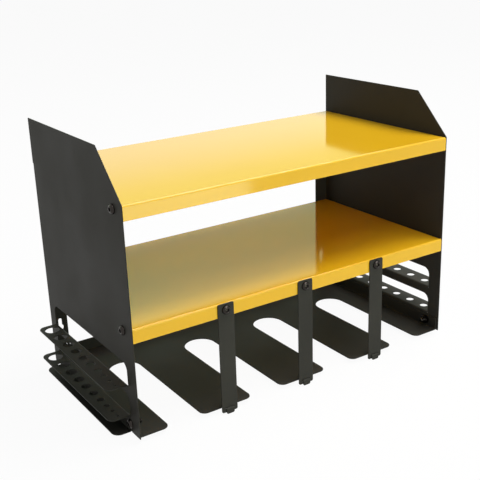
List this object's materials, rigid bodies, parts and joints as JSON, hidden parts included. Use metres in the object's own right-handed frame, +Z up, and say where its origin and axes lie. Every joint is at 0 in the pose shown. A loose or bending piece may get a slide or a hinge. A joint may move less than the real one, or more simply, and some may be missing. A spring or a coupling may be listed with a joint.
{
  "type": "wall-mounted power tool organizer",
  "caption": "Wall-mounted sheet-steel organizer with shelves, a slotted rack for hanging drills and perforated side racks for bits and screwdrivers.",
  "frame": {"origin": "on the wall plane, in the middle of the four keyhole entries", "axes": "+Z up, +Y into the wall, so the open front looks along -Y; +X to the right as seen from the front"},
  "size_m": [0.479, 0.2328, 0.31],
  "materials": {
    "black_powder_coat": "satin black powder coat on cold-rolled steel",
    "yellow_powder_coat": "gloss yellow powder coat on cold-rolled steel",
    "black_oxide_steel": "black oxide"
  },
  "bodies": {
    "root": {"left_side_panel": "black_powder_coat", "right_side_panel": "black_powder_coat", "top_shelf": "yellow_powder_coat", "lower_shelf": "yellow_powder_coat", "drill_rack": "black_powder_coat", "hanger_strap_1": "black_powder_coat", "hanger_strap_screw_1": "black_oxide_steel", "hanger_strap_nut_1": "black_oxide_steel", "hanger_strap_2": "black_powder_coat", "hanger_strap_screw_2": "black_oxide_steel", "hanger_strap_nut_2": "black_oxide_steel", "hanger_strap_3": "black_powder_coat", "hanger_strap_screw_3": "black_oxide_steel", "hanger_strap_nut_3": "black_oxide_steel", "top_shelf_screw_left": "black_oxide_steel", "top_shelf_nut_left": "black_oxide_steel", "top_shelf_screw_right": "black_oxide_steel", "top_shelf_nut_right": "black_oxide_steel", "lower_shelf_screw_left": "black_oxide_steel", "lower_shelf_nut_left": "black_oxide_steel", "lower_shelf_screw_right": "black_oxide_steel", "lower_shelf_nut_right": "black_oxide_steel", "drill_rack_screw_left": "black_oxide_steel", "drill_rack_nut_left": "black_oxide_steel", "drill_rack_screw_right": "black_oxide_steel", "drill_rack_nut_right": "black_oxide_steel"}
  },
  "joints": []
}
